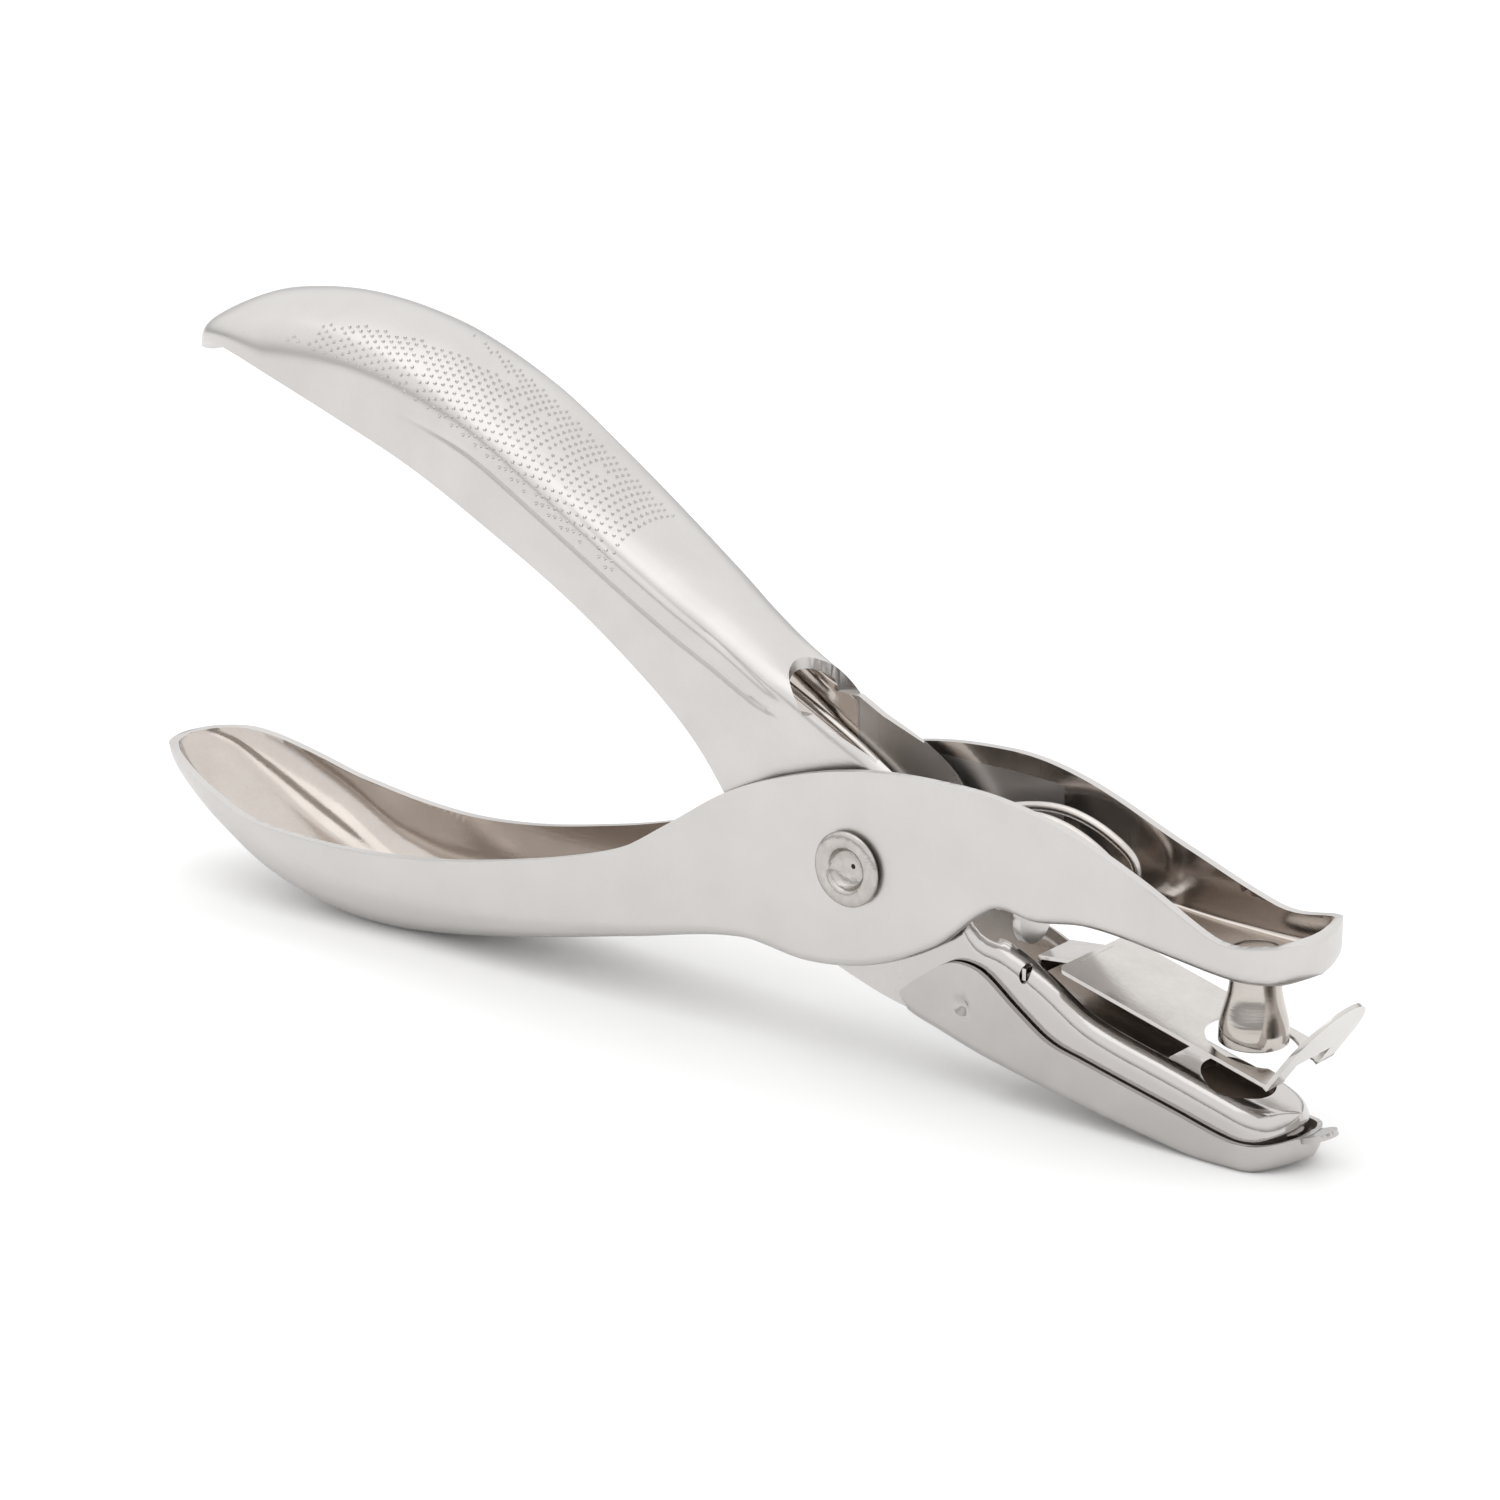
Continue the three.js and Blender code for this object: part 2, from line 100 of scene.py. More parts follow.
def shade(first, second, factor):
    return factor.node(
        "ShaderNodeMix", {"data_type": "RGBA"}, {0: factor, 6: (*first, 1), 7: (*second, 1)}, out=2
    )


def startMaterial(name):
    material = bpy.data.materials.new(name)
    material.use_nodes = True
    tree = material.node_tree
    shader = tree.nodes["Principled BSDF"]
    shader.inputs["Metallic"].default_value = 1
    return material, Signal(tree), shader


def wire(tree, shader, **links):
    for key, value in links.items():
        tree.links.new(value.socket, shader.inputs[key.replace("_", " ")])


def platedMetal(name, look):
    material, graph, shader = startMaterial(name)
    place = graph.node("ShaderNodeTexCoord", out=3)
    cloud = place.node("ShaderNodeTexNoise", None, {"Vector": place, "Scale": look["cloud"], "Detail": 3.0})
    grain = place.node("ShaderNodeTexNoise", None, {"Vector": place, "Scale": look["grain"], "Detail": 5.0})
    drawnOut = place.node("ShaderNodeMapping", None, {"Vector": place, "Scale": look["stretch"]})
    brushed = place.node("ShaderNodeTexNoise", None, {"Vector": drawnOut, "Scale": 2600.0, "Detail": 4.0})
    colour = shade(look["light"], look["dark"], cloud * 0.7 + grain * 0.3)
    rough = look["rough"] + (cloud - 0.5) * look["roughSpread"] + (brushed - 0.5) * look["brush"]
    if "polish" in look:  # smoother and darker from one x to another
        along = place.node("ShaderNodeSeparateXYZ", None, {"Vector": place})
        start, end, kept = look["polish"]
        ahead = along.node("ShaderNodeMapRange", None, {"Value": along, "From Min": start, "From Max": end})
        rough = rough * (1 - ahead * (1 - kept))
        colour = shade(look["light"], look["dark"], (cloud * 0.7 + grain * 0.3) * (1 - ahead) + ahead * 0.9)
    height = grain * look["pits"] + brushed * look["lines"]
    bump = height.node("ShaderNodeBump", None, {"Strength": 0.25, "Distance": 0.00004, "Height": height})
    wire(graph.tree, shader, Base_Color=colour, Roughness=rough, Normal=bump)
    return material


finishes = {
    "outside": {
        "light": (0.63, 0.612, 0.598), "dark": (0.54, 0.522, 0.508), "rough": 0.33, "roughSpread": 0.08,
        "cloud": 160.0, "grain": 5200.0, "stretch": (0.08, 1.0, 1.0), "brush": 0.05, "pits": 0.5, "lines": 0.25,
    },
    "upper": {
        "light": (0.64, 0.622, 0.607), "dark": (0.52, 0.50, 0.484), "rough": 0.31, "roughSpread": 0.08,
        "cloud": 180.0, "grain": 4600.0, "stretch": (0.08, 1.0, 1.0), "brush": 0.05, "pits": 0.6, "lines": 0.25,
        "polish": (0.0225, 0.0305, 0.45),
    },
    # painted shade: the outside plating made darker on the chip tray, standing in for a dark reflection
    "tray": {
        "light": (0.55, 0.532, 0.518), "dark": (0.42, 0.402, 0.388), "rough": 0.22, "roughSpread": 0.10,
        "cloud": 240.0, "grain": 3600.0, "stretch": (0.1, 1.0, 1.0), "brush": 0.05, "pits": 0.5, "lines": 0.3,
    },
    # painted light: the plating made lighter inside the chip tray so its shaded floor reads as lit
    "trayInsidePaintedLight": {
        "light": (0.80, 0.74, 0.69), "dark": (0.68, 0.61, 0.56), "rough": 0.42, "roughSpread": 0.10,
        "cloud": 300.0, "grain": 3000.0, "stretch": (0.2, 1.0, 1.0), "brush": 0.05, "pits": 0.4, "lines": 0.3,
    },
    # painted shade: the outside plating made darker and warmer for the shaded insides of the lever channels
    "inside": {
        "light": (0.60, 0.555, 0.52), "dark": (0.44, 0.395, 0.36), "rough": 0.16, "roughSpread": 0.10,
        "cloud": 220.0, "grain": 3000.0, "stretch": (0.1, 1.0, 1.0), "brush": 0.05, "pits": 0.5, "lines": 0.5,
    },
    "jaw": {
        "light": (0.66, 0.638, 0.618), "dark": (0.48, 0.455, 0.43), "rough": 0.16, "roughSpread": 0.08,
        "cloud": 260.0, "grain": 2400.0, "stretch": (0.2, 1.0, 1.0), "brush": 0.04, "pits": 0.7, "lines": 0.3,
    },
    "fastener": {
        "light": (0.62, 0.595, 0.57), "dark": (0.34, 0.315, 0.29), "rough": 0.24, "roughSpread": 0.16,
        "cloud": 900.0, "grain": 2600.0, "stretch": (1.0, 1.0, 1.0), "brush": 0.06, "pits": 3.0, "lines": 0.4,
    },
    "spring": {
        "light": (0.66, 0.63, 0.60), "dark": (0.45, 0.42, 0.40), "rough": 0.2, "roughSpread": 0.1,
        "cloud": 500.0, "grain": 3500.0, "stretch": (1.0, 0.2, 1.0), "brush": 0.08, "pits": 0.6, "lines": 0.8,
    },
    "turned": {
        "light": (0.62, 0.585, 0.55), "dark": (0.42, 0.385, 0.35), "rough": 0.15, "roughSpread": 0.06,
        "cloud": 400.0, "grain": 2500.0, "stretch": (0.08, 0.08, 1.0), "brush": 0.10, "pits": 0.2, "lines": 1.2,
    },
}
metals = {name: platedMetal(name + "_metal", look) for name, look in finishes.items()}
print("materials ready:", len(metals))


# drawing helpers
def profile(knots):
    slopes = []
    for spot in range(len(knots)):
        before, after = knots[max(spot - 1, 0)], knots[min(spot + 1, len(knots) - 1)]
        slopes.append((after[1] - before[1]) / (after[0] - before[0]))

    def at(x):
        spot = 0
        while spot < len(knots) - 2 and x > knots[spot + 1][0]:
            spot += 1
        (x0, v0), (x1, v1) = knots[spot], knots[spot + 1]
        run = x1 - x0
        t = min(max((x - x0) / run, 0), 1)
        ends = (2 * t**3 - 3 * t**2 + 1) * v0 + (3 * t**2 - 2 * t**3) * v1
        return ends + run * ((t**3 - 2 * t**2 + t) * slopes[spot] + (t**3 - t**2) * slopes[spot + 1])

    return at


def ease(value, start, end):
    t = min(max((value - start) / (end - start), 0), 1)
    return t * t * (3 - 2 * t)


def rounded(half, tips):
    # half-width with a round plan at each tip: (where, how far in, half-width there)
    def at(x):
        for where, reach, width in tips:
            inwards = abs(x - where)
            if inwards < reach:
                return width * math.sqrt(max(inwards, 0.01) / reach)
        return half(x)

    return at


def stationsAlong(start, end, step, startTip, endTip):
    tip = [0, 0.05, 0.16, 0.34, 0.6, 0.95, 1.4]
    low = [start + t for t in tip] if startTip else [start]
    high = [end - t for t in reversed(tip)] if endTip else [end]
    count = math.ceil((high[0] - low[-1]) / step)
    between = [low[-1] + (high[0] - low[-1]) * i / count for i in range(1, count)]
    return low + between + high


def bendStop(half, reachY, reachZ, crown):
    # how far round the bend reaches before its slope is the crown's, and the crown's half-width there
    flat = max(half - reachY, 0.02)
    for _ in range(4):
        stop = math.atan2(reachZ, 2 * crown / flat * reachY)
        flat = max(half - reachY + reachY * math.cos(stop), 0.02)
    return stop, flat


def troughSection(half, web, rim, bend, crown=0.0):
    # one wall, its bend and half the crowned web, then the same mirrored
    up = 1 if web > rim else -1
    reachY, reachZ = min(bend, half * 0.96), min(bend, (abs(web - rim) - crown) * 0.88)
    stop, flat = bendStop(half, reachY, reachZ, crown)
    wallTop = web - up * (crown + reachZ * math.sin(stop))
    wall = wallTop - rim
    dense = min(2.4 / abs(wall), 0.5)  # the share of the wall next to the bend that is cut finely
    side = [(-half, rim + wall * (1 - dense) * step / 4) for step in range(4)]
    side += [(-half, rim + wall * (1 - dense + dense * step / 10)) for step in range(10)]
    for step in range(13):
        turn = stop * step / 12
        side.append((-half + reachY * (1 - math.cos(turn)), wallTop + up * reachZ * math.sin(turn)))
    for step in range(1, 11):
        y = -flat * (1 - step / 10)
        side.append((y, web - up * crown * (y / flat) ** 2))
    return side + [(-y, z) for y, z in reversed(side[:-1])]


def sectionOf(spec, inset=0.0):
    # the outer skin's section at x, or the one a sheet's thickness inside it, open past the rim
    rim, web, bend = profile(spec["rim"]), profile(spec["web"]), profile(spec["bend"])
    half = rounded(profile(spec["half"]), spec["tips"])
    crown = profile(spec["crown"]) if "crown" in spec else lambda x: 0
    middle = (spec["from"] + spec["to"]) / 2
    shaping = spec.get("shaping")

    def at(x):
        wide, top = half(x), web(x)
        up = 1 if top > rim(x) else -1
        if inset == 0:
            outline = troughSection(wide, top, rim(x), bend(x), crown(x))
        else:
            slope = web(x + 0.5) - web(x - 0.5)
            lift = inset * math.sqrt(1 + min(slope * slope, 1.5))
            narrow = min(wide - inset, half(x + math.copysign(inset, x - middle)))
            outline = troughSection(narrow, top - up * lift, rim(x) - up * 30, max(bend(x) - inset, 0.3), crown(x))
            if shaping:
                stretch = wide / narrow
                return [(y + shaping(x, y * stretch, z + up * lift)[0], z + shaping(x, y * stretch, z + up * lift)[1])
                        for y, z in outline]
        if shaping:
            return [(y + shaping(x, y, z)[0], z + shaping(x, y, z)[1]) for y, z in outline]
        return outline

    return at


def pullSolid(stations, section):
    # one closed section, pulled along the tool station by station
    bm = bmesh.new()
    row = [bm.verts.new((stations[0], y, z)) for y, z in section(stations[0])]
    edges = [bm.edges.new(pair) for pair in zip(row, row[1:] + row[:1])]
    bm.faces.new(row)
    for x in stations[1:]:
        grown = bmesh.ops.extrude_edge_only(bm, edges=edges)["geom"]
        fresh = {v for v in grown if isinstance(v, bmesh.types.BMVert)}
        row = [next(e.other_vert(v) for e in v.link_edges if e.other_vert(v) in fresh) for v in row]
        edges = [e for e in grown if isinstance(e, bmesh.types.BMEdge) and e.verts[0] in fresh and e.verts[1] in fresh]
        for v, (y, z) in zip(row, section(x)):
            v.co = (x, y, z)
    bm.faces.new(row)
    bmesh.ops.recalc_face_normals(bm, faces=bm.faces)
    return bm


def newObject(name, bm, material=None):
    bmesh.ops.transform(bm, matrix=intoFrame, verts=bm.verts)
    mesh = bpy.data.meshes.new(name)
    bm.to_mesh(mesh)
    bm.free()
    made = bpy.data.objects.new(name, mesh)
    bpy.context.scene.collection.objects.link(made)
    if material:
        mesh.materials.append(material)
    return made


def settle(made):
    # bakes the modifiers into the mesh
    bpy.context.view_layer.update()
    graph = bpy.context.evaluated_depsgraph_get()
    done = bpy.data.meshes.new_from_object(made.evaluated_get(graph))
    made.modifiers.clear()
    made.data = done


def combine(made, other, operation):
    join = made.modifiers.new("join", "BOOLEAN")
    join.object = other
    join.operation = operation
    join.solver = "EXACT"
    join.material_mode = "TRANSFER"
    settle(made)
    bpy.data.objects.remove(other)


def brick(x0, x1, y0, y1, z0, z1):
    bm = bmesh.new()
    middle = Matrix.Translation(((x0 + x1) / 2, (y0 + y1) / 2, (z0 + z1) / 2))
    bmesh.ops.create_cube(bm, size=1, matrix=middle @ Matrix.Diagonal((x1 - x0, y1 - y0, z1 - z0, 1)))
    return bm


def drum(r, length, matrix, r2=None, segments=64):
    bm = bmesh.new()
    bmesh.ops.create_cone(
        bm, cap_ends=True, segments=segments, radius1=r, radius2=r if r2 is None else r2, depth=length, matrix=matrix
    )
    return bm


def across(r, y0, y1, x, z, r2=None):
    turn = Matrix.Translation((x, (y0 + y1) / 2, z)) @ Matrix.Rotation(math.radians(-90), 4, "X")
    return drum(r, y1 - y0, turn, r2)


def upright(r, z0, z1, x, z=0, lean=0):
    turn = Matrix.Translation((x, 0, z)) @ Matrix.Rotation(lean, 4, "Y") @ Matrix.Translation((0, 0, (z0 + z1) / 2))
    return drum(r, z1 - z0, turn)


def slab(outline, y0, y1):
    bm = bmesh.new()
    face = bm.faces.new([bm.verts.new((x, y0, z)) for x, z in outline])
    grown = bmesh.ops.extrude_face_region(bm, geom=[face])["geom"]
    bmesh.ops.translate(bm, vec=(0, y1 - y0, 0), verts=[v for v in grown if isinstance(v, bmesh.types.BMVert)])
    bmesh.ops.recalc_face_normals(bm, faces=bm.faces)
    return bm


def trim(made, *cutters):
    for spot, bm in enumerate(cutters):
        combine(made, newObject(f"cutter{spot}", bm), "DIFFERENCE")


def weld(made, *extras):
    for spot, bm in enumerate(extras):
        combine(made, newObject(f"extra{spot}", bm), "UNION")


def turned(outline, segments=96):
    # a closed solid spun about z from points of radius and height, the first and last on the axis or joined
    bm = bmesh.new()
    ring = [bm.verts.new((r, 0, z)) for r, z in outline]
    edges = [bm.edges.new(pair) for pair in zip(ring, ring[1:])]
    if outline[0][0] > 0.001:
        edges.append(bm.edges.new((ring[-1], ring[0])))
    bmesh.ops.spin(
        bm, geom=ring + edges, cent=(0, 0, 0), axis=(0, 0, 1), angle=2 * math.pi, steps=segments, use_merge=True
    )
    bmesh.ops.remove_doubles(bm, verts=bm.verts, dist=0.0005)
    bmesh.ops.recalc_face_normals(bm, faces=bm.faces)
    return bm


def finishPiece(made, body, nodes, soften=0.0, angle=42):
    if soften:
        edge = made.modifiers.new("soften", "BEVEL")
        edge.width = soften / 1000
        edge.segments = 2
        edge.limit_method = "ANGLE"
        edge.angle_limit = math.radians(angle)
        edge.use_clamp_overlap = True
        edge.miter_outer = "MITER_ARC"
        settle(made)
    made.data.polygons.foreach_set("use_smooth", [True] * len(made.data.polygons))
    made.data.set_sharp_from_angle(angle=math.radians(48))
    normals = made.modifiers.new("normals", "WEIGHTED_NORMAL")
    normals.keep_sharp = True
    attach(made, body)
    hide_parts(*nodes)
    print("made", made.name, len(made.data.polygons), "faces")
    return made


def pressedTrough(name, spec):
    startTip = any(abs(where - spec["from"]) < 0.1 for where, _, _ in spec["tips"])
    sheet = spec["sheet"]
    skin = pullSolid(stationsAlong(spec["from"], spec["to"], spec["step"], startTip, True), sectionOf(spec))
    start = spec["from"] + sheet * 1.02 if startTip else spec["from"] - 0.2
    hollow = pullSolid(stationsAlong(start, spec["to"] - sheet * 1.02, spec["step"], startTip, True),
                       sectionOf(spec, sheet))
    # the second finish covers the skin inside the trough: for the levers a darker copy of the plating as painted shade,
    # for the tray a lighter one as painted light
    outside, inside = spec["finish"]
    made = newObject(name, skin, metals[outside])
    combine(made, newObject("hollow", hollow, metals[inside]), "DIFFERENCE")
    return made


# the plane of the table under the drawing, where belly and tray are flattened
ground = {"skim": 0.12}
groundTilt = math.atan2(
    drawn["trayLow"][1] - drawn["bellyLow"][1], drawn["trayLow"][0] - drawn["bellyLow"][0]
)


def tableCutter():
    bm = brick(-60, 160, -20, 20, -20, 0)
    low = drawn["bellyLow"]
    place = Matrix.Translation((low[0], 0, low[1] + ground["skim"])) @ Matrix.Rotation(-groundTilt, 4, "Y")
    bmesh.ops.transform(bm, matrix=place, verts=bm.verts)
    return bm


# punch lever
punchLever = {
    "from": -88.2, "to": 44.8, "step": 0.9, "sheet": 0.8, "plateHalf": 6.0, "finish": ("outside", "inside"),
    "rim": [
        (-88.2, -6.8), (-84, -6.9), (-77, -8.8), (-71, -10.3), (-59, -10.8), (-48, -9.7), (-37, -7.3), (-30, -5.3),
        (-25.7, -3.6), (-20.7, -0.4), (-14, 4), (-6.9, 7), (0.2, 8.9), (7.1, 9.7), (13.9, 9.6), (20.6, 8.2),
        (29.1, 5.1), (36.9, 2), (39.4, 1.7), (43.9, 2.45), (44.8, 1.9),
    ],
    "web": [
        (-88.2, -7.4), (-85.6, -8.6), (-82, -10.9), (-77, -13.8), (-70.7, -16.8), (-65, -18.6), (-58.5, -19.4),
        (-52, -18.8), (-39.8, -16.2), (-25.8, -12.7), (-13, -9.7), (-5, -10.1), (2.1, -8.8), (9.1, -5.5),
        (14.8, -0.9), (18.8, -1.2), (23.8, -0.6), (33.5, -1.3), (40, -1.6), (44.8, -1),
    ],
    "half": [
        (-88.2, 1.2), (-87.4, 3), (-86.4, 4), (-85, 5.1), (-83.4, 6), (-80.6, 7), (-77, 7.78), (-71, 8.46), (-64, 8.08),
        (-53, 7.2), (-37, 6.7), (-25, 6.2), (-17, 6), (-13, 6), (8, 6), (10, 6), (17, 5.3), (25, 4.7), (31, 4.9),
        (37, 5.5), (40, 5.7), (42.2, 5.55), (43.6, 5), (44.4, 3.8), (44.8, 2),
    ],
    "bend": [(-88.2, 2), (-80, 4.4), (-60, 5.4), (-45, 3.6), (-30, 2), (-15, 1.2), (20, 1), (44.8, 1.4)],
    "tips": [(-88.2, 0.8, 3), (44.8, 1.2, 5.0)],
}


def makePunchLever(spec):
    made = pressedTrough("punch_lever_sheet", spec)
    open_ = spec["plateHalf"] - spec["sheet"] + 0.03
    trim(
        made,
        brick(-15, 15.2, -open_, open_, -14, 8),
        upright(open_, -14, -4, -15),
        across(2.4, -8, 8, 0, 0),
        upright(1.9, -3, 0, 38.3),
        brick(24.2, 26.4, -2.3, 2.3, -2, 2),
        tableCutter(),
    )
    disc = drum(2.4, 0.8, Matrix.Translation((15.4, 0, -2.6)) @ Matrix.Rotation(math.radians(90), 4, "Y"))
    weld(made, disc, brick(15.02, 15.78, -2.35, 2.35, -2.6, -0.3), brick(14.95, 16.5, -4, 4, -1, -0.3))
    return finishPiece(made, "punch_body", ["punch_lever"], 0.14)


makePunchLever(punchLever)

# die lever
dieLever = {
    "from": -80.8, "to": 43.3, "step": 0.8, "sheet": 0.9, "finish": ("upper", "inside"),
    "web": [
        (-80.8, 34.8), (-79.8, 36.7), (-77, 38.7), (-71.6, 40.6), (-62.6, 41.36), (-53, 39.7), (-43.6, 35.7),
        (-34.5, 30.4), (-25.6, 25), (-16, 19.2), (-9, 14.9), (-4, 12.2), (1, 9.8), (5, 7), (9.4, 0.4), (12, -3.5),
        (15.3, -4.4), (19.3, -6.2), (24.1, -8.9), (33, -11.2), (43.3, -13.8),
    ],
    "rim": [
        (-80.8, 33.5), (-79.2, 34.9), (-77, 35.8), (-73.5, 35.7), (-69, 34.6), (-59.3, 31.5), (-49.8, 28),
        (-40.5, 23.6), (-31.4, 18.6), (-23.8, 13.2), (-18.8, 8.6), (-14.6, 2.8), (-11, -3.5), (-6, -8.6),
        (-2.1, -10.4), (4.4, -12.2), (9, -12.4), (20, -14.4), (33, -16.8), (43.3, -17),
    ],
    "half": [
        (-80.8, 1.8), (-79.8, 4), (-77.2, 6), (-71.6, 7.4), (-60, 7.6), (-45, 7), (-30, 6.3), (-21, 5.5),
        (-16.5, 4.8), (-12, 4.4), (-6, 4.2), (39.2, 4.2), (41, 3.8), (42.2, 3), (43, 1.9), (43.3, 0.9),
    ],
    "bend": [(-80.8, 2), (-70, 4.4), (-52, 3.6), (-42, 2.2), (-16, 2), (-6, 1.7), (12, 1.9), (43.3, 1.9)],
    "crown": [(-80.8, 0.2), (-70, 1.6), (-50, 1.1), (-30, 0.9), (-14, 0.7), (-8, 0.1), (0, 0), (43.3, 0)],
    "tips": [(-80.8, 1.0, 4), (43.3, 1.1, 3)],
    "bead": {
        "from": -54, "full": -40, "creaseFrom": -35, "creaseFull": -27, "round": -12, "to": -8.4,
        "out": 0.2, "step": 0.24, "edge": 1.44, "soft": 0.72, "crease": 1.3, "width": 0.75, "valley": 0.24,
    },
    "grip": {"from": -66, "to": -26.5, "across": 0.8, "along": 0.7, "r": 0.26, "high": 0.17, "deep": 3.9},
    "window": {"x": -6.2, "z": 12.2, "r": 4.2}, "die": {"x": 36.95, "r": 3.3, "lean": math.atan(0.2535)},
    "slit": {"x": 17.5, "z": -6.35, "wide": 0.48, "high": 0.82},
}


def beadShaping(spec):
    # a rounded bead along each shoulder: a shallow crease above it, and a step down to the flat side below
    bead, web, half = spec["bead"], profile(spec["web"]), profile(spec["half"])
    bend, crown = profile(spec["bend"]), profile(spec["crown"])

    def moved(x, y, z):
        amount = ease(x, bead["from"], bead["full"])
        if amount == 0 or x > bead["to"]:
            return 0, 0
        closing = max(x - bead["round"], 0) / (bead["to"] - bead["round"])
        stop = bendStop(half(x), bend(x), bend(x), crown(x))[0]
        wallTop = crown(x) + bend(x) * math.sin(stop)
        edge = bead["crease"] + (wallTop + bead["edge"] - bead["crease"]) * math.sqrt(1 - closing * closing)
        ending = 1 - ease(x, bead["round"] + 1, bead["to"])
        depth, shoulder = web(x) - z, ease(abs(y), half(x) - 2.4, half(x) - 1.1)
        swell = bead["out"] * ease(depth, bead["crease"], bead["crease"] + 1.1)
        swell -= (bead["out"] + bead["step"]) * ease(depth, edge, edge + bead["soft"])
        crease = ease(x, bead["creaseFrom"], bead["creaseFull"]) * ending * shoulder * bead["valley"]
        crease *= math.exp(-(((depth - bead["crease"]) / bead["width"]) ** 2))
        return math.copysign(amount * shoulder * ending * swell - 0.75 * crease, y), -0.75 * crease

    return moved


def addGrip(made, spec):
    # rows of low pips over the crown and its shoulders, each a small six-sided dome
    grip, section, web = spec["grip"], sectionOf(spec), profile(spec["web"])
    bm = bmesh.new()
    bm.from_mesh(made.data)
    rows = int((grip["to"] - grip["from"]) / grip["along"])
    for row in range(rows + 1):
        x = grip["from"] + row * grip["along"]
        outline = section(x)
        middle = len(outline) // 2
        slope = web(x + 0.5) - web(x - 0.5)
        for side in (-1, 1):
            place, gone, spot = Vector(outline[middle]), 0.0, middle
            wanted = (0.5 if row % 2 else 0.0) * grip["across"]
            if side > 0 and wanted == 0:
                wanted = grip["across"]
            while 0 < spot < len(outline) - 1:
                ahead = Vector(outline[spot + side])
                run = (ahead - place).length
                while gone + run >= wanted:
                    here = place.lerp(ahead, (wanted - gone) / run)
                    wanted += grip["across"]
                    if web(x) - here.y > grip["deep"]:
                        break
                    if here.x > 2.4 or x < -43 - 3.2 * abs(here.x) or noise.noise(Vector((x, here.x, 3)) * 0.9) > 0.42:
                        continue
                    level = (ahead - place).normalized() * side
                    out = Vector((-slope * level.x, -level.y, level.x)).normalized()
                    turn = out.to_track_quat("Z", "X").to_matrix().to_4x4()
                    stand = Matrix.Translation((x, here.x, here.y)) @ turn
                    lift = Matrix.Translation((0, 0, grip["high"] / 2 - 0.06))
                    bmesh.ops.create_cone(
                        bm, cap_ends=True, segments=6, radius1=grip["r"], radius2=grip["r"] * 0.4,
                        depth=grip["high"] + 0.12, matrix=intoFrame @ stand @ lift,
                    )
                if web(x) - ahead.y > grip["deep"] + 1:
                    break
                gone += run
                place = ahead
                spot += side
    bm.to_mesh(made.data)
    bm.free()


def oval(slit):
    turns = [2 * math.pi * step / 24 for step in range(24)]
    return [(slit["x"] + slit["wide"] * math.cos(t), slit["z"] + slit["high"] * math.sin(t)) for t in turns]


def makeDieLever(spec):
    spec["shaping"] = beadShaping(spec)
    made = pressedTrough("die_lever_sheet", spec)
    inside = 4.2 - spec["sheet"] + 0.03
    window, die = spec["window"], spec["die"]
    dieTop = -11.2 - 0.2535 * (die["x"] - 33)
    trim(
        made,
        upright(window["r"], window["z"], 30, window["x"]),
        slab([(window["x"], window["z"]), (-3.6, 10.9), (1, 9.3), (3, 30), (window["x"], 30)], -5, 5),
        upright(inside - 0.02, 0, 30, window["x"]),
        brick(window["x"], 14, -inside, inside, -6, 31),
        brick(-4, 12.1, -inside - 0.012, inside + 0.012, -9, 20),
        brick(12, 31.6, -2.7, 2.7, -14, 0),
        across(2.4, -8, 8, 0, 0),
        across(1.1, -8, 8, *drawn["trayHinge"]),
        upright(die["r"], -5, 3, die["x"], dieTop, die["lean"]),
        slab(oval(spec["slit"]), -6, 6),
    )
    finishPiece(made, "die_body", ["die_lever"], 0.14)
    addGrip(made, spec)


makeDieLever(dieLever)

# pivot: rivet, sleeve and washers
rivet = {"shank": 2.1, "flange": 3.45, "mouth": 2.0, "dish": 1.6, "end": 6.85, "face": 6.3, "deep": 0.9}
onPivot = Matrix.Rotation(math.radians(90), 4, "X")


def makeRivet(spec):
    face, end, floorAt = spec["face"], spec["end"], spec["end"] - spec["deep"]
    half = [
        (spec["shank"], face), (spec["flange"] - 0.1, face), (spec["flange"], face + 0.1),
        (spec["flange"], face + 0.2), (spec["flange"] - 0.12, end - 0.2), (spec["flange"] - 0.4, end - 0.03),
        (spec["flange"] - 0.8, end), (spec["mouth"] + 0.25, end), (spec["mouth"], end - 0.1),
        (spec["mouth"] - 0.1, end - 0.35), (spec["dish"] + 0.08, floorAt + 0.16), (spec["dish"] - 0.12, floorAt),
        (0.7, floorAt - 0.03), (0, floorAt - 0.03),
    ]
    bm = turned([(r, -z) for r, z in reversed(half)] + half)
    for v in bm.verts:  # the rolled-over rim is uneven
        radial = math.hypot(v.co.x, v.co.y)
        if spec["mouth"] < radial < spec["flange"] - 0.05 and abs(v.co.z) > end - 0.15:
            v.co.z -= math.copysign(0.07 * (0.5 + 0.5 * noise.noise(v.co * 2.4)), v.co.z)
    bmesh.ops.transform(bm, matrix=onPivot, verts=bm.verts)
    made = newObject("pivot_rivet_turned", bm, metals["fastener"])
    trim(made, across(0.2, -floorAt - 0.02, -floorAt + 0.3, 0.35, 0.2, 0.42))
    return finishPiece(made, "punch_body", ["pivot_rivet"])


def makeTube(name, node, inner, outer, y0, y1):
    edge = 0.08
    bm = turned([
        (inner, y0 + edge), (inner + edge, y0), (outer - edge, y0), (outer, y0 + edge), (outer, y1 - edge),
        (outer - edge, y1), (inner + edge, y1), (inner, y1 - edge),
    ])
    bmesh.ops.transform(bm, matrix=onPivot, verts=bm.verts)
    made = newObject(name, bm, metals["fastener"])
    return finishPiece(made, "punch_body", [node])


